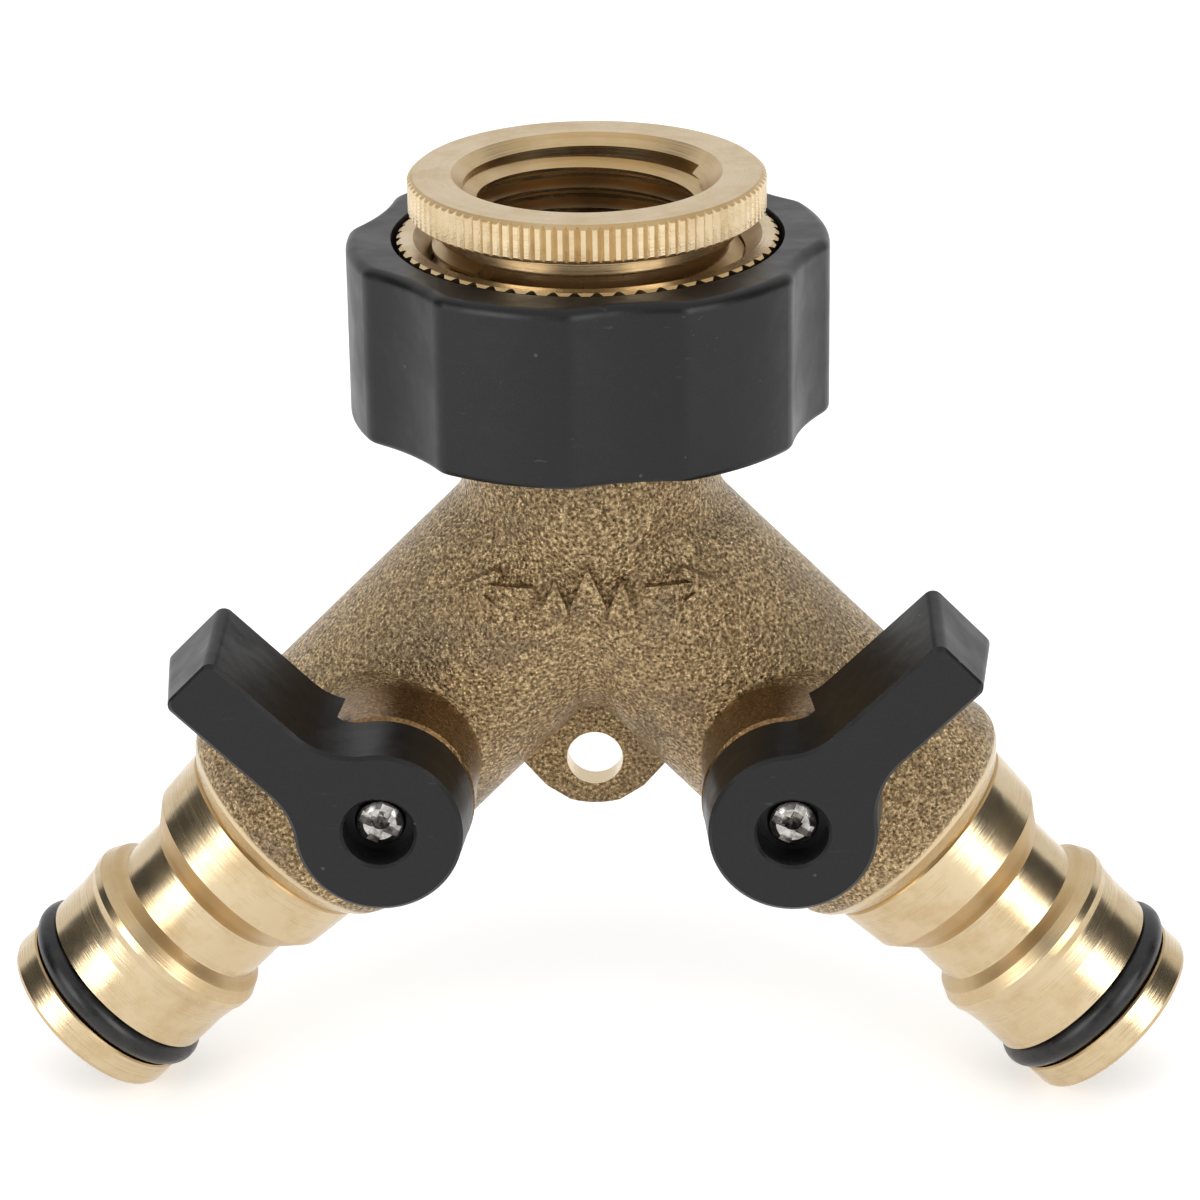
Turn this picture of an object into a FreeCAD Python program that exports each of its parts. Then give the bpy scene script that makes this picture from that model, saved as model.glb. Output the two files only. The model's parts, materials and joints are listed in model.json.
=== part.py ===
"""Two-way brass hose splitter: a swivel-nut inlet with a thread adapter, and two ball valves.

Row frame, millimetres: +Z runs up out of the inlet along its axis, -Y is the front with the two
levers, +X is to the right. The origin is where a tap's spout end seats: on the inlet axis, on the
top face of the adapter's washer.
"""
import FreeCAD
import Part
import math
import os
from FreeCAD import Vector

# ---- driving dimensions -------------------------------------------------------------------
# pipe threads, 14 per inch, with flats in place of the rounded crests and roots
PITCH = 1.814
FLANK = math.tan(math.radians(27.5))
ROOT_FLAT = 0.34
THREAD_START_DEG = 97
INLET_CREST_R = 9.32          # G1/2 female: minor and major radius
INLET_ROOT_R = 10.48
MALE_CREST_R = 13.20          # G3/4 male on the adapter
MALE_ROOT_R = 12.02
FEMALE_CREST_R = 12.20        # G3/4 female in the nut, with running clearance
FEMALE_ROOT_R = 13.37

# heights on the inlet axis
MOUTH_Z = 9.0
FLANGE_T = 3.45
FLANGE_LOW_Z = MOUTH_Z - FLANGE_T
THREAD_TOP_Z = MOUTH_Z - 5.0
ADAPTER_END_Z = MOUTH_Z - 13.0
LEDGE_Z = -2.0
NUT_TOP_Z = MOUTH_Z - 5.46
NUT_END_Z = MOUTH_Z - 20.0
NUT_RELIEF_Z = ADAPTER_END_Z - 1.5
NECK_TOP_Z = ADAPTER_END_Z - 2.0
MALE_THREAD_Z = ADAPTER_END_Z + 0.9
RING_LOW_Z = NECK_TOP_Z - 2.7   # snap ring's underside
CROSS_Z = MOUTH_Z - 32.16       # where the two leg axes meet the inlet axis

# adapter, nut and cover
FLANGE_R = 15.15
FLANGE_TEETH = 100
NUT_R = 16.19
NUT_TEETH = 56
COVER_R = 20.5
COVER_VALLEY_R = 19.35
COVER_TOP_Z = NUT_TOP_Z - 0.04
COVER_END_Z = NUT_END_Z - 1.0
COVER_BORE_R = 16.25
LOBES = 6
LOBE_AT_DEG = 11.0
LOBE_HALF_DEG = 16.5

# casting
LEG_ANGLE = 44.45             # each leg's axis, from straight down
NECK_R = 11.1
NECK_TURNED_R = 11.0
CAST_END = 40.5               # along a leg from the crossing
VALVE_AT = 24.69              # ball centre, along a leg
BOSS_R = 7.7
BOSS_FRONT = 18.6             # heights over a leg's axis, towards the front
CHAMBER_R = 7.9
WATERWAY_R = 5.0
INLET_WATERWAY_R = 7.2
STEM_BORE_R = 3.5
LUG_T = 2.4
LUG_HOLE_Z = MOUTH_Z - 53.7
LUG_HOLE_R = 2.45
MARK_PROUD = 0.8

# ball valve
BALL_R = 7.2
PORT_R = 4.7
SEAT_GAP = 0.1
SEAT_REACH = 7.6              # ball centre to a seat's outer face
STEM_R = 3.42
HUB_BACK = 19.0
LEVER_FRONT = 25.1
ARM_SHIFT = 1.1               # lever's arm off the hub's centre line
SCREW_SEAT = 21.9

# spigot
SPIGOT_BORE_R = 5.2
LAND_R = 8.78
SPIGOT_TIP = 66.6
RING_R = 1.25                 # O-ring near the tip: section radius
RING_AT = 62.25

CROSS = Vector(0, 0, CROSS_Z)
SIDES = (("left", -1), ("right", 1))


# ---- helpers ------------------------------------------------------------------------------
def turned(points, from_deg=0, sweep_deg=360):
    """Solid of revolution about Z from (radius, height) corners, swept from from_deg."""
    corners = [Vector(r, 0, z) for r, z in points]
    face = Part.Face(Part.makePolygon(corners + corners[:1]))
    solid = face.revolve(Vector(0, 0, 0), Vector(0, 0, 1), sweep_deg)
    solid.rotate(Vector(0, 0, 0), Vector(0, 0, 1), from_deg)
    return solid


def ring(r_in, r_out, z_low, z_high):
    return turned([(r_in, z_low), (r_out, z_low), (r_out, z_high), (r_in, z_high)])


def rod(radius, z_low, z_high):
    return Part.makeCylinder(radius, z_high - z_low, Vector(0, 0, z_low))


def block(size_x, size_y, z_low, z_high):
    """Box centred on Z."""
    return Part.makeBox(size_x, size_y, z_high - z_low, Vector(-size_x / 2, -size_y / 2, z_low))


def placed(shape, rotation, base):
    copy = shape.copy()
    copy.Placement = FreeCAD.Placement(base, rotation).multiply(copy.Placement)
    return copy


def on_leg(shape, side):
    """Local Z becomes the leg's axis, outwards from the crossing."""
    return placed(shape, FreeCAD.Rotation(Vector(0, 1, 0), side * (180 - LEG_ANGLE)), CROSS)


def on_valve(shape, side):
    """Local origin at the ball's centre, Z to the front, X across the leg, up and outwards."""
    a = math.radians(LEG_ANGLE)
    across = Vector(side * math.cos(a), 0, math.sin(a))
    front = Vector(0, -1, 0)
    along = Vector(side * math.sin(a), 0, -math.cos(a))
    turn = FreeCAD.Rotation(across, front.cross(across), front, "ZXY")
    return placed(shape, turn, CROSS + along * VALVE_AT)


def helical_bar(root_r, crest_r, root_half, crest_half, first_z, last_z):
    """Bar of trapezoid section on a helix that rises from first_z to last_z."""
    outline = [Vector(root_r, 0, -root_half), Vector(crest_r, 0, -crest_half),
               Vector(crest_r, 0, crest_half), Vector(root_r, 0, root_half)]
    helix = Part.Wire(Part.makeHelix(PITCH, last_z - first_z, root_r))
    bar = helix.makePipeShell([Part.makePolygon(outline + outline[:1])], True, True)
    bar.rotate(Vector(0, 0, 0), Vector(0, 0, 1), THREAD_START_DEG)
    bar.translate(Vector(0, 0, first_z))
    return bar


def thread_ridge(root_r, crest_r, first_z, last_z):
    """Thread to fuse to a wall at root_r: its foot is sunk a little into the wall."""
    sunk = 0.2
    foot = root_r + math.copysign(sunk, root_r - crest_r)
    half = (PITCH - ROOT_FLAT) / 2
    return helical_bar(foot, crest_r, half + sunk * FLANK,
                       half - abs(root_r - crest_r) * FLANK, first_z, last_z)


def toothed_disc(tip_r, depth, teeth, z_low, z_high):
    """Straight-knurled disc: V grooves round the rim."""
    points = []
    for i in range(teeth):
        for share, radius in ((0.0, tip_r), (0.42, tip_r), (0.71, tip_r - depth)):
            angle = 2 * math.pi * (i + share) / teeth
            points.append(Vector(radius * math.cos(angle), radius * math.sin(angle), z_low))
    face = Part.Face(Part.makePolygon(points + points[:1]))
    return face.extrude(Vector(0, 0, z_high - z_low))


# ---- inlet --------------------------------------------------------------------------------
def threaded_sleeve(sleeve_r, low_z):
    """Socket with the G1/2 female thread, bored in quarters so that its crests are short faces."""
    above = MOUTH_Z + 1
    blank = rod(sleeve_r, low_z, MOUTH_Z).cut(turned([
        (0, LEDGE_Z), (10.65, LEDGE_Z), (10.65, 0), (INLET_ROOT_R, 0.17),
        (INLET_ROOT_R, above), (0, above)], 180))
    ridged = blank.fuse(thread_ridge(INLET_ROOT_R, INLET_CREST_R - 0.05, 0.9, MOUTH_Z - 1.2))
    quarters = []
    for start in (0, 90, 180, 270):
        sector = turned([(0, low_z - 1), (sleeve_r + 1, low_z - 1), (sleeve_r + 1, above), (0, above)],
                        start, 90)
        bore = turned([(0, LEDGE_Z), (INLET_CREST_R, LEDGE_Z), (INLET_CREST_R, MOUTH_Z - 2.13),
                       (11.45, MOUTH_Z), (11.45, above), (0, above)], start + 180)
        quarters.append(ridged.common(sector).cut(bore))
    return quarters[0].fuse(quarters[1:])


def thread_adapter():
    """Knurled flange, G3/4 male barrel, and the threaded sleeve inside it."""
    joint_z = THREAD_TOP_Z + 0.6
    sleeve_r, sleeve_low = 11.5, LEDGE_Z - 0.5
    core = rod(sleeve_r, sleeve_low, MOUTH_Z + 1)
    barrel = turned([
        (0, ADAPTER_END_Z), (MALE_ROOT_R - 0.4, ADAPTER_END_Z),
        (MALE_ROOT_R, ADAPTER_END_Z + 0.4), (MALE_ROOT_R, THREAD_TOP_Z - 0.4),
        (12.75, THREAD_TOP_Z), (12.75, joint_z), (0, joint_z)])
    barrel = barrel.fuse(thread_ridge(
        MALE_ROOT_R, MALE_CREST_R, MALE_THREAD_Z, THREAD_TOP_Z - 1.0))
    flange = toothed_disc(FLANGE_R, 0.32, FLANGE_TEETH, joint_z, MOUTH_Z).common(turned([
        (0, joint_z), (12.75, joint_z), (12.75, FLANGE_LOW_Z), (FLANGE_R - 0.55, FLANGE_LOW_Z),
        (FLANGE_R + 0.05, FLANGE_LOW_Z + 0.5), (FLANGE_R + 0.05, MOUTH_Z - 0.4),
        (FLANGE_R - 0.45, MOUTH_Z), (0, MOUTH_Z)]))
    sleeve = threaded_sleeve(sleeve_r, sleeve_low)
    body = barrel.cut(core).fuse(sleeve).fuse(flange.cut(core))
    return body.cut(rod(INLET_WATERWAY_R, ADAPTER_END_Z - 1, LEDGE_Z + 1))


def inlet_nut():
    """Serrated swivel nut, G3/4 female thread above a relief and an inner lip."""
    lip_z = RING_LOW_Z - 0.15
    outside = turned([
        (0, NUT_END_Z), (15.6, NUT_END_Z), (NUT_R + 0.1, NUT_END_Z + 0.7),
        (NUT_R + 0.1, NUT_TOP_Z - 0.25), (NUT_R - 0.3, NUT_TOP_Z), (0, NUT_TOP_Z)])
    inside = turned([
        (0, NUT_END_Z - 1), (11.35, NUT_END_Z - 1), (11.35, lip_z), (13.5, lip_z),
        (13.5, NUT_RELIEF_Z), (FEMALE_ROOT_R, NUT_RELIEF_Z + 0.2),
        (FEMALE_ROOT_R, NUT_TOP_Z - 1.4), (14.8, NUT_TOP_Z + 0.01), (0, NUT_TOP_Z + 0.01)])
    body = toothed_disc(NUT_R, 0.45, NUT_TEETH, NUT_END_Z, NUT_TOP_Z).common(outside).cut(inside)
    return body.fuse(thread_ridge(
        FEMALE_ROOT_R, FEMALE_CREST_R, MALE_THREAD_Z - PITCH / 2, NUT_TOP_Z - 2.2))


def lobed_outline(z):
    edges = []
    for i in range(LOBES):
        centre = LOBE_AT_DEG + 360 / LOBES * i
        stops = [
            (centre - LOBE_HALF_DEG, COVER_R), (centre, COVER_R), (centre + LOBE_HALF_DEG, COVER_R),
            (centre + 180 / LOBES, COVER_VALLEY_R),
            (centre + 360 / LOBES - LOBE_HALF_DEG, COVER_R)]
        pts = [Vector(r * math.cos(math.radians(d)), r * math.sin(math.radians(d)), z)
               for d, r in stops]
        edges.append(Part.Arc(pts[0], pts[1], pts[2]).toShape())
        edges.append(Part.Arc(pts[2], pts[3], pts[4]).toShape())
    return Part.Wire(edges)


def nut_cover():
    outer = Part.Face(lobed_outline(COVER_END_Z)).extrude(Vector(0, 0, COVER_TOP_Z - COVER_END_Z))
    corners = [e for e in outer.Edges if isinstance(e.Curve, Part.Line)]
    outer = outer.makeFillet(2.8, corners)
    top = [e for e in outer.Edges if e.BoundBox.ZMin > COVER_TOP_Z - 0.01]
    outer = outer.makeFillet(0.9, top)
    bottom = [e for e in outer.Edges if e.BoundBox.ZMax < COVER_END_Z + 0.01]
    outer = outer.makeFillet(0.6, bottom)
    inside = turned([
        (0, COVER_END_Z - 1), (11.95, COVER_END_Z - 1), (11.95, NUT_END_Z),
        (COVER_BORE_R, NUT_END_Z), (COVER_BORE_R, COVER_TOP_Z - 1.2),
        (COVER_BORE_R + 0.45, COVER_TOP_Z + 0.01), (0, COVER_TOP_Z + 0.01)])
    return outer.cut(inside)


def snap_ring():
    whole = ring(10.15, 12.6, RING_LOW_Z, RING_LOW_Z + 1.1)
    split = Part.makeBox(6, 3.2, 3, Vector(8, -1.6, RING_LOW_Z - 1))
    return whole.cut(split)


# ---- casting ------------------------------------------------------------------------------
def leg_outside():
    return turned([
        (0, 0), (10.75, 0), (10.9, 30), (11.75, 36.2), (11.9, 37.2), (11.75, 38.2),
        (11.3, 39.1), (9.9, CAST_END), (0, CAST_END)])


def middle_of(edge):
    return edge.valueAt((edge.FirstParameter + edge.LastParameter) / 2)


def blended_tubes():
    """Neck and legs as one skin, with rounded valleys where they meet."""
    neck = rod(NECK_R, CROSS_Z, NECK_TOP_Z)
    knee = Part.makeSphere(NECK_R - 0.05, CROSS)
    legs = [on_leg(leg_outside(), side) for _, side in SIDES]
    skin = neck.fuse([knee] + legs).removeSplitter()
    shoulders = [
        e for e in skin.Edges
        if e.Length > 10 and abs(middle_of(e).x) > 5 and 1 < middle_of(e).z - CROSS_Z < 8
        and isinstance(e.Curve, Part.BSplineCurve)]
    skin = skin.makeFillet(3.0, shoulders)
    crotch = [e for e in skin.Edges
              if e.Length > 10 and abs(middle_of(e).x) < 0.1 and middle_of(e).z < CROSS_Z - 6]
    return skin.makeFillet(2.0, crotch)


def valve_boss():
    return turned([(0, 4), (8.1, 4), (BOSS_R, 11.5), (BOSS_R, BOSS_FRONT - 0.3),
                   (BOSS_R - 0.3, BOSS_FRONT), (0, BOSS_FRONT)])


def lug():
    """Hanging plate between the legs, with a rounded bottom."""
    hip_z, cheek_z, chin_z = LUG_HOLE_Z + 0.9, LUG_HOLE_Z - 2.7, LUG_HOLE_Z - 4.05
    top = Vector(0, 0, LUG_HOLE_Z + 8.7)
    chin = Part.Arc(Vector(-2.2, 0, chin_z), Vector(0, 0, chin_z - 0.3), Vector(2.2, 0, chin_z))
    corners = [Vector(2.2, 0, chin_z), Vector(4.3, 0, cheek_z), Vector(7.4, 0, hip_z), top,
               Vector(-7.4, 0, hip_z), Vector(-4.3, 0, cheek_z), Vector(-2.2, 0, chin_z)]
    wire = Part.Wire([chin.toShape()] + Part.makePolygon(corners).Edges)
    plate = Part.Face(wire).extrude(Vector(0, LUG_T, 0))
    plate.translate(Vector(0, -LUG_T / 2, 0))
    cheeks = [e for e in plate.Edges if e.Length < LUG_T + 0.01
              and abs(middle_of(e).z - cheek_z) < 0.1 and isinstance(e.Curve, Part.Line)]
    return plate.makeFillet(1.6, cheeks)


def stroke(x1, z1, x2, z2, width):
    """Upright bar between two points, long enough in Y to cross the casting's skin."""
    start, end = Vector(x1, -14, z1), Vector(x2, -14, z2)
    along = (end - start).normalize()
    aside = along.cross(Vector(0, 1, 0)) * (width / 2)
    corners = [start + aside, end + aside, end - aside, start - aside]
    bar = Part.Face(Part.makePolygon(corners + corners[:1])).extrude(Vector(0, 10, 0))
    caps = [Part.makeCylinder(width / 2, 10, p, Vector(0, 1, 0)) for p in (start, end)]
    return bar.fuse(caps)


def drop(x, low, height):
    """Water drop along Y: a round bottom and a pointed top."""
    radius = 0.27 * height
    lift = height - radius
    lean = math.acos(radius / lift)
    side, up = radius * math.sin(lean), low + radius + radius * math.cos(lean)
    corners = [Vector(x - side, -14, up), Vector(x + side, -14, up), Vector(x, -14, low + height)]
    tip = Part.Face(Part.makePolygon(corners + corners[:1])).extrude(Vector(0, 10, 0))
    return tip.fuse(Part.makeCylinder(radius, 10, Vector(x, -14, low + radius), Vector(0, 1, 0)))


def raised_marks():
    """Three water drops with an arrow to each side, as bars through the skin."""
    drops = [drop(x, CROSS_Z + low, height)
             for x, low, height in ((0, -4.7, 5.6), (-2.85, -4.3, 3.9), (2.85, -4.3, 3.9))]
    arrows = []
    for tail_x, tip_x, tail_z, tip_z in ((-4.8, -10.2, -1.6, -1.7), (5.1, 10.3, -1.5, -1.5)):
        lean = 1 if tip_x > 0 else -1
        tail_z += CROSS_Z
        tip_z += CROSS_Z
        arrows.append(stroke(tail_x, tail_z, tip_x, tip_z, 0.8))
        arrows.append(stroke(tip_x, tip_z, tip_x - 2.3 * lean, tip_z + 1.3, 0.7))
        arrows.append(stroke(tip_x, tip_z, tip_x - 1.9 * lean, tip_z - 1.4, 0.7))
    return drops[0].fuse(drops[1:] + arrows)


def marks_skin():
    """Casting's skin grown outwards, which bounds the raised marks."""
    grow = MARK_PROUD
    neck = rod(NECK_R + grow, CROSS_Z, CROSS_Z + 6)
    knee = Part.makeSphere(NECK_R - 0.05 + grow, CROSS)
    leg = rod(10.8 + grow, 0, 20)
    return neck.fuse([knee] + [on_leg(leg, side) for _, side in SIDES])


def leg_hollows():
    chamber = turned([
        (0, VALVE_AT - SEAT_REACH), (CHAMBER_R, VALVE_AT - SEAT_REACH),
        (CHAMBER_R, CAST_END - 0.4), (CHAMBER_R + 0.4, CAST_END + 0.01), (0, CAST_END + 0.01)])
    return chamber.fuse(rod(WATERWAY_R, 0, VALVE_AT))


def stem_hollow():
    return turned([
        (0, 0), (4.7, 0), (4.7, 10.1), (STEM_BORE_R, 10.1), (STEM_BORE_R, BOSS_FRONT - 0.4),
        (STEM_BORE_R + 0.4, BOSS_FRONT + 0.01), (0, BOSS_FRONT + 0.01)])


def splitter_body():
    body = blended_tubes()
    body = body.fuse([on_valve(valve_boss(), side) for _, side in SIDES] + [lug()])
    body = body.fuse(raised_marks().common(marks_skin()))
    turned_neck = ring(NECK_TURNED_R, NECK_R + 1, COVER_END_Z - 0.4, NECK_TOP_Z + 1)
    groove = ring(10.1, NECK_R + 1, RING_LOW_Z, RING_LOW_Z + 1.2)
    waterway = turned([(0, CROSS_Z - 4), (4.5, CROSS_Z - 4), (INLET_WATERWAY_R, CROSS_Z),
                       (INLET_WATERWAY_R, NECK_TOP_Z + 1), (0, NECK_TOP_Z + 1)])
    hole = Part.makeCylinder(LUG_HOLE_R, 20, Vector(0, -10, LUG_HOLE_Z), Vector(0, 1, 0))
    hollows = [turned_neck, groove, waterway, hole]
    for _, side in SIDES:
        hollows += [on_leg(leg_hollows(), side), on_valve(stem_hollow(), side)]
    for hollow in hollows:
        body = body.cut(hollow)
    return body.removeSplitter()


# ---- valve, in its own frame --------------------------------------------------------------
def ball():
    port = Part.makeCylinder(PORT_R, 20, Vector(-10, 0, 0), Vector(1, 0, 0))
    slot = block(3.1, 20, 5.2, 10)
    return Part.makeSphere(BALL_R).cut(port).cut(slot)


def stem():
    square = 4.4
    body = turned([
        (0, 8.3), (4.4, 8.3), (4.4, 9.5), (STEM_R, 9.5), (STEM_R, 11.3), (2.3, 11.3),
        (2.3, 12.7), (STEM_R, 12.7), (STEM_R, 14.1), (2.3, 14.1), (2.3, 15.5),
        (STEM_R, 15.5), (STEM_R, HUB_BACK), (0, HUB_BACK)])
    tang = block(3.0, 8.4, 5.3, 8.3).common(rod(4.2, 5.3, 8.3))
    body = body.fuse([tang, block(square, square, HUB_BACK, 20.9)])
    return body.cut(rod(1.45, 13.0, 22))


def stem_o_rings():
    section_r = 0.57
    centre_r = 2.3 + section_r
    rings = [Part.makeTorus(centre_r, section_r, Vector(0, 0, z)) for z in (12.0, 14.8)]
    return Part.makeCompound(rings)


def lever_outline(grow, z):
    """Hub and arm outline at height z, grown outwards by the moulding draft."""
    hub_r, end, fillet, corner = 7.07 + grow, 20.6 + 0.6 * grow, 6.6 - grow, 0.9
    near = corner * (1 - math.sqrt(0.5))

    def at(x, y):
        return Vector(x, y, z)

    edges, meets, tips = [], [], []
    for up in (1, -1):
        half = 2.85 + up * ARM_SHIFT + grow
        reach = math.sqrt((hub_r + fillet) ** 2 - (half + fillet) ** 2)
        touch = math.atan2(half + fillet, reach)
        lean = -math.pi / 2 - (math.pi / 2 - touch) / 2
        meet = at(hub_r * math.cos(touch), up * hub_r * math.sin(touch))
        turn = at(reach + fillet * math.cos(lean), up * (half + fillet + fillet * math.sin(lean)))
        start, stop = at(reach, up * half), at(end - corner, up * half)
        tip = at(end, up * (half - corner))
        edges += [Part.Arc(meet, turn, start).toShape(), Part.LineSegment(start, stop).toShape(),
                  Part.Arc(stop, at(end - near, up * (half - near)), tip).toShape()]
        meets.append(meet)
        tips.append(tip)
    edges.append(Part.LineSegment(*tips).toShape())
    edges.append(Part.Arc(meets[0], at(-hub_r, 0), meets[1]).toShape())
    return Part.Wire(Part.__sortEdges__(edges))


def lever():
    arm_back = 15.2
    draft = 0.087
    face = LEVER_FRONT
    sections = [lever_outline(-0.3, face), lever_outline(0.0, face - 0.3),
                lever_outline(draft * (face - arm_back), arm_back)]
    body = Part.makeLoft(sections, True, True)
    under_hub = turned([(0, arm_back - 1), (8.6, arm_back - 1), (8.6, HUB_BACK - 0.4),
                        (8.2, HUB_BACK), (0, HUB_BACK)])
    body = body.cut(under_hub)
    recess = turned([(0, SCREW_SEAT), (3.0, SCREW_SEAT), (3.0, face - 0.25),
                     (3.25, face + 0.01), (0, face + 0.01)])
    return body.cut(recess).cut(rod(1.7, HUB_BACK - 1, face)).cut(
        block(4.46, 4.46, HUB_BACK - 1, 21.0))


def lever_screw():
    head_r, rise = 2.15, 1.35
    head = turned([(0, SCREW_SEAT), (head_r, SCREW_SEAT), (head_r, SCREW_SEAT + 0.7),
                   (head_r - 0.2, SCREW_SEAT + 1.05), (head_r - 0.75, SCREW_SEAT + rise),
                   (0, SCREW_SEAT + rise)])
    shank = turned([(0, 13.6), (1.0, 13.6), (1.4, 14.0), (1.4, SCREW_SEAT), (0, SCREW_SEAT)])
    slot, span, floor_z = 1.0, 3.5, SCREW_SEAT + 0.55
    cross = block(slot, span, floor_z, SCREW_SEAT + 2).fuse(block(span, slot, floor_z, SCREW_SEAT + 2))
    point = turned([(0, floor_z - 0.9), (0.95, floor_z + 0.1), (0, floor_z + 0.1)])
    cross = cross.fuse(point)
    cross.rotate(Vector(0, 0, 0), Vector(0, 0, 1), 20)
    return head.fuse(shank).cut(cross)


# ---- leg ends, along the leg --------------------------------------------------------------
def seat_ring(direction):
    """PTFE seat on the inner (-1) or outer (+1) side of the ball."""
    low, high = sorted((VALVE_AT + direction * 4.2, VALVE_AT + direction * SEAT_REACH))
    cup = Part.makeSphere(BALL_R + SEAT_GAP, Vector(0, 0, VALVE_AT))
    return ring(WATERWAY_R, CHAMBER_R - 0.05, low, high).cut(cup)


def spigot():
    """Turned tail for a quick-click hose connector."""
    inner = VALVE_AT + SEAT_REACH
    groove_r = RING_AT - RING_R - 0.15
    groove_end = RING_AT + RING_R + 0.15
    bottom_r = 6.8
    return turned([
        (SPIGOT_BORE_R, inner), (7.4, inner), (7.85, inner + 0.5), (7.85, 37.9), (6.85, 37.9),
        (6.85, 39.4), (7.85, 39.4), (7.85, CAST_END), (9.75, CAST_END), (9.95, CAST_END + 0.25),
        (9.55, 45.5), (7.72, 48.0), (7.72, 52.3), (8.7, 53.1), (9.25, 54.2), (9.25, 54.9),
        (9.0, 55.6), (LAND_R, 57.5), (LAND_R, groove_r), (bottom_r, groove_r),
        (bottom_r, groove_end), (LAND_R - 0.15, groove_end), (LAND_R, groove_end + 0.15),
        (LAND_R, SPIGOT_TIP - 0.55), (LAND_R - 0.18, SPIGOT_TIP - 0.2),
        (LAND_R - 0.55, SPIGOT_TIP), (SPIGOT_BORE_R + 0.6, SPIGOT_TIP),
        (SPIGOT_BORE_R, SPIGOT_TIP - 0.6)])


def o_ring(inner_r, section_r, at):
    return Part.makeTorus(inner_r + section_r, section_r, Vector(0, 0, at))


# ---- assembly -----------------------------------------------------------------------------
def nodes():
    parts = {
        "splitter_body": splitter_body(),
        "thread_adapter": thread_adapter(),
        "adapter_washer": ring(6.2, 10.2, LEDGE_Z, 0),
        "inlet_nut": inlet_nut(),
        "nut_cover": nut_cover(),
        "snap_ring": snap_ring(),
        "nut_washer": ring(INLET_WATERWAY_R, 11.9, NECK_TOP_Z, ADAPTER_END_Z - 0.05),
    }
    for name, side in SIDES:
        parts[name + "_ball"] = on_valve(ball(), side)
        parts[name + "_stem"] = on_valve(stem(), side)
        parts[name + "_stem_washer"] = on_valve(ring(STEM_R + 0.08, 4.6, 9.5, 10.05), side)
        parts[name + "_stem_o_rings"] = on_valve(stem_o_rings(), side)
        parts[name + "_lever"] = on_valve(lever(), side)
        parts[name + "_lever_screw"] = on_valve(lever_screw(), side)
        parts[name + "_seat_inner"] = on_leg(seat_ring(-1), side)
        parts[name + "_seat_outer"] = on_leg(seat_ring(1), side)
        parts[name + "_spigot"] = on_leg(spigot(), side)
        parts[name + "_body_o_ring"] = on_leg(o_ring(6.87, 0.5, 38.65), side)
        parts[name + "_spigot_o_ring"] = on_leg(o_ring(6.83, RING_R, RING_AT), side)
    return parts


def main():
    os.makedirs("parts", exist_ok=True)
    for name, shape in nodes().items():
        shape.exportStep("parts/" + name + ".step")
        print(f"{name}: {shape.Volume:.1f} mm3, {len(shape.Solids)} solid(s), valid {shape.isValid()}")


main()
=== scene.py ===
"""Looks of a brass two-way hose splitter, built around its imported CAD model.

Metres in the row frame: +Z runs up out of the inlet, -Y is the front with the two levers.
"""

import json
import math

import bpy
from mathutils import Matrix, Vector


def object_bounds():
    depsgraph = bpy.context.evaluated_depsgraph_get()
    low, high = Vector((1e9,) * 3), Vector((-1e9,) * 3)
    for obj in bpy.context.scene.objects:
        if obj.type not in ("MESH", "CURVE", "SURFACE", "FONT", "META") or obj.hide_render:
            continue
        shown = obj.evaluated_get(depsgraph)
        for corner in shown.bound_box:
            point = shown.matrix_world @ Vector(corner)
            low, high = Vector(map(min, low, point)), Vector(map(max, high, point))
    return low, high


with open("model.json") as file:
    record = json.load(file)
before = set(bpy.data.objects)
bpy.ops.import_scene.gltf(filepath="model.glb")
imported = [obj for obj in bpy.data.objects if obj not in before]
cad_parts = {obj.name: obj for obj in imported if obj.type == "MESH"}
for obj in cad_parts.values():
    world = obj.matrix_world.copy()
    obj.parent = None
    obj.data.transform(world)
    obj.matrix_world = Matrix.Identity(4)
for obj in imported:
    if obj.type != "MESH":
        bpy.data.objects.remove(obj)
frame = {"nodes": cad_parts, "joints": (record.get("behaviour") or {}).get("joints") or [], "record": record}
cad_low, cad_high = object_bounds()

MM = 0.001
MOUNTS = {mount["name"]: mount for mount in frame["record"]["mounts"]}
JOINTS = {joint["name"]: joint for joint in frame["joints"]}
SIDES = ("left", "right")


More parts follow.
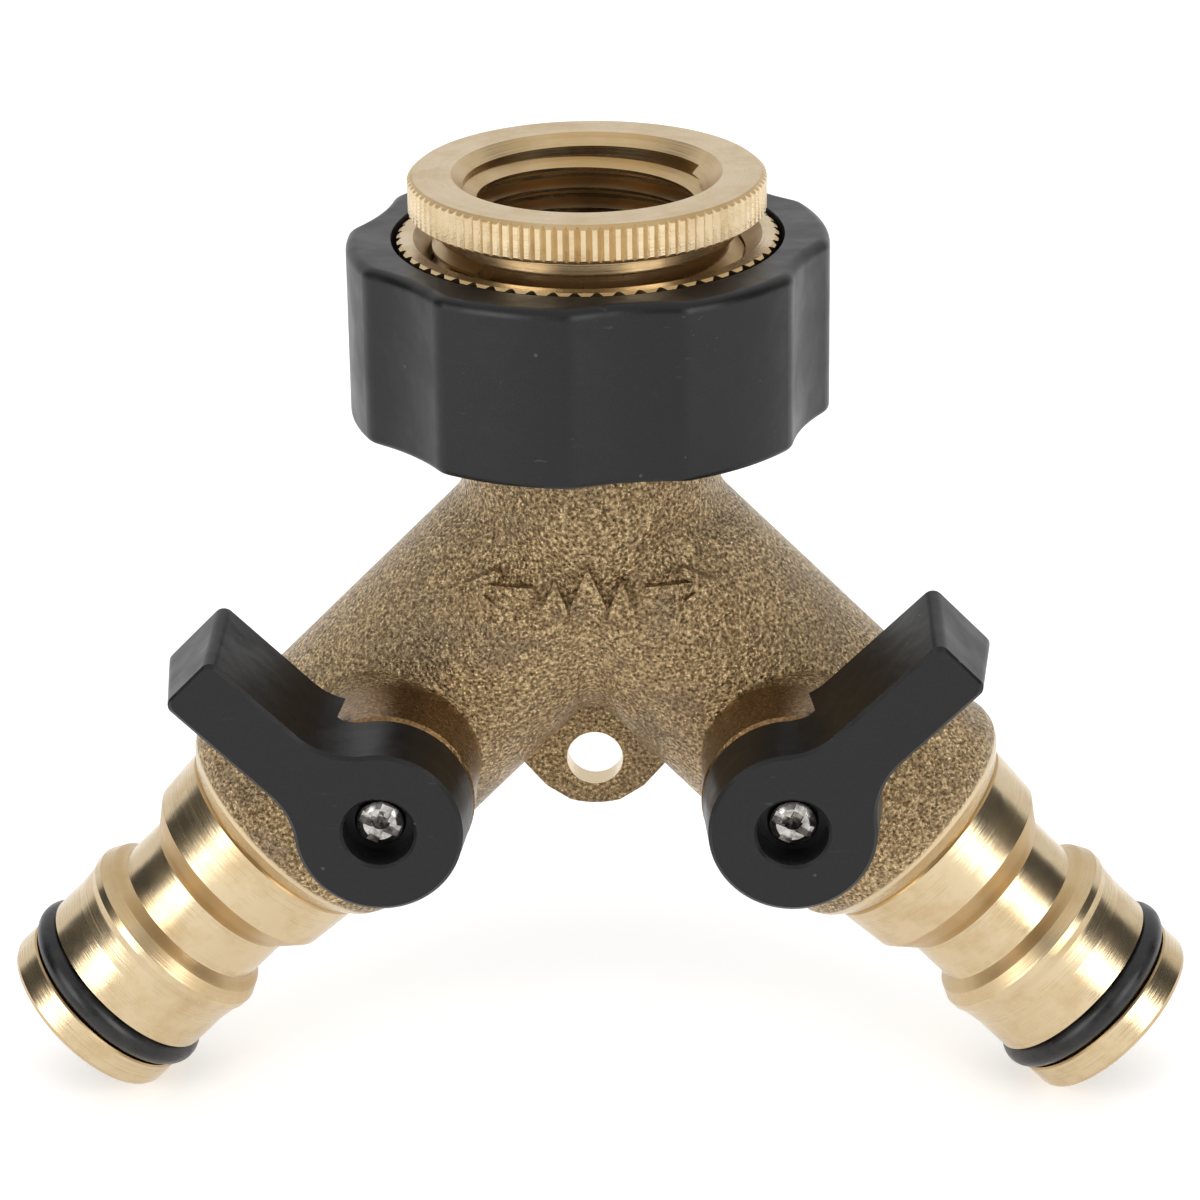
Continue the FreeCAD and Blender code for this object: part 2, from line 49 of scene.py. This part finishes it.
# ---- node trees ---------------------------------------------------------------------------
class Tree:
    """Adds nodes to a tree. A value given to an input is a number, a colour or another output."""

    def __init__(self, owner):
        owner.use_nodes = True
        self.nodes = owner.node_tree.nodes
        self.links = owner.node_tree.links

    def feed(self, socket, value):
        if isinstance(value, bpy.types.NodeSocket):
            self.links.new(value, socket)
        elif hasattr(value, "__len__") and len(value) == 3 and socket.type == "RGBA":
            socket.default_value = (*value, 1)
        else:
            socket.default_value = value

    def add(self, kind, *inputs, **settings):
        node = self.nodes.new("ShaderNode" + kind)
        for name, value in settings.items():
            setattr(node, name, value)
        for socket, value in zip(node.inputs, inputs):
            if value is not None:
                self.feed(socket, value)
        return node

    def math(self, operation, *values):
        return self.add("Math", *values, operation=operation).outputs[0]

    def vector(self, operation, *values):
        node = self.add("VectorMath", *values, operation=operation)
        scalar = operation in ("DOT_PRODUCT", "LENGTH", "DISTANCE")
        return node.outputs["Value" if scalar else "Vector"]

    def step(self, value, low, high, start=0.0, stop=1.0):
        """start below low, stop over high, with a smooth change between them."""
        node = self.add("MapRange", value, low, high, start, stop, interpolation_type="SMOOTHSTEP")
        return node.outputs[0]

    def mix(self, share, first, second):
        node = self.add("Mix", data_type="RGBA")
        self.feed(node.inputs["Factor"], share)
        self.feed(node.inputs[6], first)
        self.feed(node.inputs[7], second)
        return node.outputs[2]

    def noise(self, place, grain, detail=2.0, roughness=0.5):
        """Noise whose blobs are about grain metres across."""
        node = self.add("TexNoise", noise_dimensions="3D")
        for name, value in (("Vector", place), ("Scale", 1 / grain), ("Detail", detail),
                            ("Roughness", roughness)):
            self.feed(node.inputs[name], value)
        return node.outputs[0]

    def cells(self, place, grain):
        """Distance to the nearest of points scattered about grain metres apart."""
        node = self.add("TexVoronoi", feature="F1")
        self.feed(node.inputs["Vector"], place)
        self.feed(node.inputs["Scale"], 1 / grain)
        return node.outputs["Distance"]

    def ramp(self, value, *stops):
        node = self.add("ValToRGB", value)
        elements = node.color_ramp.elements
        while len(elements) < len(stops):
            elements.new(0.5)
        for element, (position, colour) in zip(elements, stops):
            element.position = position
            element.color = (*colour, 1)
        return node.outputs[0]

    def bump(self, height, depth, strength=1.0, below=None):
        node = self.add("Bump")
        self.feed(node.inputs["Strength"], strength)
        self.feed(node.inputs["Distance"], depth)
        self.feed(node.inputs["Height"], height)
        if below is not None:
            self.feed(node.inputs["Normal"], below)
        return node.outputs[0]


class Material(Tree):
    def __init__(self, name):
        self.material = bpy.data.materials.new(name)
        super().__init__(self.material)
        self.shader = self.nodes["Principled BSDF"]
        self.place = self.add("TexCoord").outputs["Object"]

    def set(self, **inputs):
        for name, value in inputs.items():
            self.feed(self.shader.inputs[name.replace("_", " ")], value)
        return self.material

    def from_axis(self, point, axis):
        """(distance along an axis from a point, distance from that axis)."""
        out = self.vector("SUBTRACT", self.place, tuple(point))
        along = self.vector("DOT_PRODUCT", out, tuple(axis))
        foot = self.add("VectorMath", tuple(axis), operation="SCALE")
        self.feed(foot.inputs["Scale"], along)
        return along, self.vector("LENGTH", self.vector("SUBTRACT", out, foot.outputs[0]))

    def turning_marks(self, along, around, pitch):
        """Fine rings round an axis, as a lathe tool leaves them, broken up a little."""
        rings = self.add("CombineXYZ", along, around, 0.0).outputs[0]
        fine = self.noise(rings, pitch, 2.0, 0.6)
        broken = self.noise(self.place, 12 * pitch, 1.0)
        return self.math("MULTIPLY", fine, self.step(broken, 0.3, 0.6, 0.55, 1.0))


# ---- materials ----------------------------------------------------------------------------
BRASS = (0.62, 0.495, 0.315)
BOSS_EDGE = (8.3 * MM, 8.6 * MM)        # a boss's smooth skin fades out here, off a lever's hinge
BOSS_DEPTH = (10.5 * MM, 12.5 * MM)     # and fades in here, from the leg's axis towards the front
TURNED_END = (-26.6 * MM, -26.2 * MM)   # each leg is machined from here on, from its outlet's point
DRILLED = (0.02 * MM, 0.06 * MM)        # bright metal fades out over this, outside the lug's hole


def leg_axis(side):
    """A point on a leg's axis and the axis's direction, away from the inlet."""
    outlet = MOUNTS[side + "_outlet"]
    return Vector(outlet["pos_m"]), Vector(outlet["axis"])


def shaded(*share):
    return [c * k for c, k in zip(BRASS, share)]


def turned_brass(name, point, axis, roughness=0.2):
    """Bright turned brass: rings round the axis, browner and duller where the tool faced off."""
    m = Material(name)
    along, around = m.from_axis(point, axis)
    marks = m.turning_marks(along, around, 0.14 * MM)
    broad = m.turning_marks(along, around, 0.8 * MM)
    stain = m.noise(m.place, 4 * MM, 4.0, 0.62)
    shade = m.mix(m.step(stain, 0.42, 0.72), BRASS, shaded(0.88, 0.82, 0.72))
    shade = m.mix(m.math("MULTIPLY", m.step(marks, 0.42, 0.7), 0.35), shade, shaded(0.7, 0.62, 0.5))
    normal = m.add("NewGeometry").outputs["Normal"]
    facing = m.math("ABSOLUTE", m.vector("DOT_PRODUCT", normal, tuple(axis)))
    cone = m.math("MULTIPLY", m.step(facing, 0.25, 0.6), m.step(facing, 0.93, 0.99, 1.0, 0.35))
    grooved = m.math("MULTIPLY", cone, m.step(broad, 0.25, 0.6, 0.45, 0.95))
    shade = m.mix(grooved, shade, shaded(0.78, 0.66, 0.47))
    rough = m.math("ADD", m.step(stain, 0.3, 0.7, roughness - 0.03, roughness + 0.07),
                   m.math("MULTIPLY", cone, 0.14))
    rings = m.bump(marks, 0.03 * MM, 0.8)
    return m.set(Base_Color=shade, Metallic=1.0, Roughness=rough,
                 Normal=m.bump(broad, 0.035 * MM, 0.5, rings))


def casting_masks(m):
    """(share of smooth boss skin, share of bright machined metal) over the casting."""
    bosses, ends = [], []
    for side in SIDES:
        hinge = JOINTS[side + "_lever"]
        deep, off = m.from_axis(hinge["pos_m"], hinge["axis"])
        bosses.append(m.math("MULTIPLY", m.step(off, *BOSS_EDGE, 1.0, 0.0),
                             m.step(m.math("ABSOLUTE", deep), *BOSS_DEPTH)))
        along, _ = m.from_axis(*leg_axis(side))
        ends.append(m.step(along, *TURNED_END))
    lug = MOUNTS["lug_hole"]
    _, off = m.from_axis(lug["pos_m"], lug["axis"])
    wall = lug["dims"]["r_mm"] * MM
    drilled = m.step(off, wall + DRILLED[0], wall + DRILLED[1], 1.0, 0.0)
    machined = m.math("MAXIMUM", m.math("MAXIMUM", *ends), drilled)
    return m.math("MAXIMUM", *bosses), machined


def cast_brass():
    """Sand-cast skin with painted glints on its grains, smoother on the bosses, bright where it is machined.
    """
    m = Material("cast_brass")
    grain = m.noise(m.place, 0.3 * MM, 3.0, 0.7)
    sand = m.cells(m.place, 0.34 * MM)
    lumps = m.noise(m.place, 3.2 * MM, 2.0)
    patina = m.noise(m.place, 9 * MM, 3.0, 0.6)
    speckle = m.ramp(m.math("ADD", m.math("MULTIPLY", grain, 0.8), m.math("MULTIPLY", sand, 0.28)),
                     (0.34, (0.055, 0.036, 0.017)), (0.52, (0.28, 0.192, 0.098)),
                     (0.70, (0.66, 0.49, 0.27)))
    dull = m.ramp(grain, (0.35, (0.09, 0.067, 0.043)), (0.62, (0.30, 0.225, 0.15)))
    skin = m.mix(m.step(patina, 0.48, 0.68, 0.0, 0.55), speckle, dull)
    # painted highlight: small bright spots mixed into the skin's colour stand in for glints of light off the
    # grains
    glint = m.step(m.cells(m.place, 0.6 * MM), 0.13, 0.2, 1.0, 0.0)
    skin = m.mix(m.math("MULTIPLY", glint, 0.7), skin, (0.80, 0.63, 0.38))
    height = m.math("ADD", grain, m.math("MULTIPLY", sand, -0.6))
    relief = m.bump(height, 0.3 * MM, 1.0, m.bump(lumps, 0.9 * MM, 0.8))
    boss, machined = casting_masks(m)
    smooth = m.ramp(m.noise(m.place, 0.3 * MM, 3.0),
                    (0.3, (0.12, 0.068, 0.028)), (0.7, (0.27, 0.165, 0.075)))
    colour = m.mix(machined, m.mix(boss, skin, smooth), BRASS)
    finished = m.math("MAXIMUM", boss, machined)
    rough = m.math("SUBTRACT", m.step(grain, 0.3, 0.7, 0.36, 0.22), m.math("MULTIPLY", machined, 0.12))
    flat = m.add("NewGeometry").outputs["Normal"]
    share = m.add("Mix", data_type="VECTOR")
    m.feed(share.inputs["Factor"], m.math("MULTIPLY", finished, 0.88))
    m.feed(share.inputs[4], relief)
    m.feed(share.inputs[5], flat)
    return m.set(Base_Color=colour, Metallic=1.0, Roughness=rough, Normal=share.outputs[1])


def black_plastic():
    """Moulded black plastic, satin, with faint sink waves, scuffs and dust nicks."""
    m = Material("black_plastic")
    satin = m.noise(m.place, 0.14 * MM, 3.0, 0.6)
    waves = m.noise(m.place, 4 * MM, 2.0)
    stretched = m.add("Mapping", m.place)
    stretched.inputs["Rotation"].default_value = (0.3, 0.9, 0.5)
    stretched.inputs["Scale"].default_value = (0.12, 1, 1)
    scuffs = m.step(m.noise(stretched.outputs[0], 0.35 * MM, 2.0, 0.7), 0.66, 0.74)
    patches = m.step(m.noise(m.place, 7 * MM, 2.0), 0.5, 0.66)
    scuffs = m.math("MULTIPLY", scuffs, patches)
    nicks = m.step(m.cells(m.place, 3.4 * MM), 0.035, 0.055, 1.0, 0.0)
    colour = m.ramp(satin, (0.3, (0.0035, 0.0035, 0.0038)), (0.75, (0.0075, 0.0075, 0.008)))
    worn = m.math("MAXIMUM", m.math("MULTIPLY", scuffs, 0.3), m.math("MULTIPLY", nicks, 0.3))
    colour = m.mix(worn, colour, (0.12, 0.12, 0.12))
    rough = m.math("ADD", m.step(waves, 0.3, 0.7, 0.3, 0.4), m.math("MULTIPLY", scuffs, 0.15))
    height = m.math("ADD", satin, m.math("MULTIPLY", nicks, 2.0))
    return m.set(Base_Color=colour, Roughness=rough, Specular_IOR_Level=0.3,
                 Normal=m.bump(height, 0.02 * MM, 0.7, m.bump(waves, 0.2 * MM, 0.6)))


def black_rubber():
    """Moulded rubber with a soft gloss and a thin bloom."""
    m = Material("black_rubber")
    bloom = m.noise(m.place, 1.6 * MM, 4.0, 0.65)
    fine = m.noise(m.place, 0.12 * MM, 2.0)
    colour = m.ramp(bloom, (0.4, (0.006, 0.006, 0.0065)), (0.8, (0.022, 0.021, 0.02)))
    return m.set(Base_Color=colour, Roughness=m.step(bloom, 0.3, 0.7, 0.24, 0.4),
                 Specular_IOR_Level=0.35,
                 Normal=m.bump(fine, 0.01 * MM, 0.5, m.bump(bloom, 0.06 * MM, 0.4)))


def plated_steel():
    """Bright nickel-plated steel with a few fine scratches."""
    m = Material("plated_steel")
    cloud = m.noise(m.place, 0.8 * MM, 3.0, 0.6)
    scratch = m.noise(m.add("Mapping", m.place, None, None, (1, 8, 1)).outputs[0], 0.5 * MM, 2.0)
    colour = m.ramp(cloud, (0.35, (0.22, 0.205, 0.19)), (0.65, (0.58, 0.56, 0.53)))
    return m.set(Base_Color=colour, Metallic=1.0, Roughness=m.step(cloud, 0.3, 0.7, 0.12, 0.24),
                 Normal=m.bump(scratch, 0.01 * MM, 0.4))


def spring_steel():
    """Dark oiled spring steel."""
    m = Material("spring_steel")
    scale = m.noise(m.place, 0.6 * MM, 4.0, 0.6)
    colour = m.ramp(scale, (0.35, (0.09, 0.085, 0.08)), (0.7, (0.22, 0.21, 0.2)))
    return m.set(Base_Color=colour, Metallic=1.0, Roughness=m.step(scale, 0.3, 0.7, 0.3, 0.5),
                 Normal=m.bump(scale, 0.02 * MM, 0.4))


def ptfe():
    """Waxy white PTFE with faint tool marks."""
    m = Material("ptfe")
    haze = m.noise(m.place, 1.5 * MM, 3.0)
    colour = m.ramp(haze, (0.3, (0.72, 0.71, 0.68)), (0.7, (0.84, 0.83, 0.80)))
    marks = m.noise(m.add("Mapping", m.place, None, None, (1, 1, 6)).outputs[0], 0.6 * MM, 2.0)
    return m.set(Base_Color=colour, Roughness=m.step(haze, 0.3, 0.7, 0.38, 0.5),
                 Normal=m.bump(marks, 0.01 * MM, 0.4))


def dress_nodes():
    """Gives every CAD node its finish."""
    up = (Vector((0, 0, 0)), Vector((0, 0, 1)))
    finishes = {
        "splitter_body": cast_brass(),
        "thread_adapter": turned_brass("turned_brass_adapter", *up, roughness=0.22),
        "inlet_nut": turned_brass("turned_brass_nut", *up, roughness=0.2),
        "snap_ring": spring_steel(),
        "nut_cover": black_plastic(),
    }
    plastic = finishes["nut_cover"]
    rubber, plated, white = black_rubber(), plated_steel(), ptfe()
    for name in ("adapter_washer", "nut_washer"):
        finishes[name] = rubber
    for side in SIDES:
        hinge = JOINTS[side + "_lever"]
        finishes[side + "_spigot"] = turned_brass("turned_brass_" + side, *leg_axis(side))
        finishes[side + "_stem"] = turned_brass(
            "turned_brass_stem_" + side, Vector(hinge["pos_m"]), Vector(hinge["axis"]))
        finishes[side + "_lever"] = plastic
        for name, finish in (("_ball", plated), ("_lever_screw", plated), ("_seat_inner", white),
                             ("_seat_outer", white), ("_stem_washer", white),
                             ("_stem_o_rings", rubber), ("_body_o_ring", rubber),
                             ("_spigot_o_ring", rubber)):
            finishes[side + name] = finish
    for name, node in frame["nodes"].items():
        node.data.materials.clear()
        node.data.materials.append(finishes[name])


# ---- studio -------------------------------------------------------------------------------
def studio_world():
    """Pale room, with a dark gap at each side and a dimmer front. The camera sees plain white."""
    world = bpy.data.worlds.new("studio")
    bpy.context.scene.world = world
    t = Tree(world)
    x, y, z = t.add("SeparateXYZ", t.add("TexCoord").outputs["Generated"]).outputs
    aside = t.math("ARCTAN2", t.math("ABSOLUTE", x), t.math("MULTIPLY", y, -1.0))
    low = t.step(z, 0.62, 0.85, 1.0, 0.0)

    def between(first, second, soft):
        """Share of the band between two angles off the front, in degrees, below the ceiling."""
        rise = t.step(aside, math.radians(first - soft), math.radians(first + soft))
        fall = t.step(aside, math.radians(second - soft), math.radians(second + soft), 1.0, 0.0)
        return t.math("MULTIPLY", t.math("MULTIPLY", rise, fall), low)

    room, gap_dim, front_dim = 1.0, 0.92, 0.6
    gap, front = between(68, 116, 4), between(-60, 26, 5)
    level = t.math("SUBTRACT", room, t.math("MULTIPLY", gap, gap_dim))
    level = t.math("SUBTRACT", level, t.math("MULTIPLY", front, front_dim))
    seen = t.add("LightPath").outputs["Is Camera Ray"]
    level = t.add("Mix", seen, None, level, 1.0).outputs[0]
    t.feed(t.nodes["Background"].inputs["Color"], (1.0, 1.0, 1.0))
    t.feed(t.nodes["Background"].inputs["Strength"], level)


def towards(azimuth, elevation):
    """Unit vector at angles in radians: azimuth 0 is the front, and it grows to the right."""
    return Vector((math.sin(azimuth) * math.cos(elevation),
                   -math.cos(azimuth) * math.cos(elevation), math.sin(elevation)))


def softbox(name, azimuth, elevation, distance, width, height, radiance):
    """Area light that faces the object and doesn't show itself."""
    light = bpy.data.lights.new(name, "AREA")
    light.shape = "RECTANGLE"
    light.size, light.size_y = width, height
    light.energy = math.pi * width * height * radiance
    lamp = bpy.data.objects.new(name, light)
    lamp.visible_camera = False
    bpy.context.scene.collection.objects.link(lamp)
    back = towards(math.radians(azimuth), math.radians(elevation))
    lamp.location = (cad_low + cad_high) / 2 + back * distance
    lamp.rotation_euler = (-back).to_track_quat("-Z", "Y").to_euler()


def floor():
    """Pale sweep that the splitter stands on."""
    bpy.ops.mesh.primitive_plane_add(size=6, location=(0, 0, cad_low.z))
    plane = bpy.context.object
    plane.name = "floor"
    m = Material("floor")
    tone = m.noise(m.place, 0.08, 2.0)
    pale = m.ramp(tone, (0.3, (0.86, 0.86, 0.86)), (0.7, (0.88, 0.88, 0.88)))
    m.set(Base_Color=pale, Roughness=0.8, Specular_IOR_Level=0.0,
          Emission_Color=(1, 1, 1), Emission_Strength=0.36)
    plane.data.materials.append(m.material)


def camera():
    """Long lens in front of the fitting, a little above it and to the right, rolled slightly."""
    azimuth, elevation, roll = (math.radians(d) for d in (2.047, 22.577, -0.823))
    target, distance = Vector((0.0006, 0.0, -0.03011)), 0.39996
    back = towards(azimuth, elevation)
    level = (-back).cross(Vector((0, 0, 1))).normalized()
    upright = level.cross(-back)
    right = level * math.cos(roll) + upright * math.sin(roll)
    up = upright * math.cos(roll) - level * math.sin(roll)
    data = bpy.data.cameras.new("camera")
    data.sensor_width = 36
    data.lens = 137.23
    data.clip_start, data.clip_end = 0.01, 20
    rig = bpy.data.objects.new("camera", data)
    turn = Matrix((right, up, back)).transposed().to_4x4()
    rig.matrix_world = Matrix.Translation(target + back * distance) @ turn
    bpy.context.scene.collection.objects.link(rig)
    bpy.context.scene.camera = rig


dress_nodes()
camera()
floor()
studio_world()
for flank, name in ((-1, "softbox_left"), (1, "softbox_right")):
    softbox(name, azimuth=flank * 45, elevation=17, distance=0.9, width=0.52, height=0.62,
            radiance=3.4)
bpy.context.scene.view_settings.view_transform = "Standard"
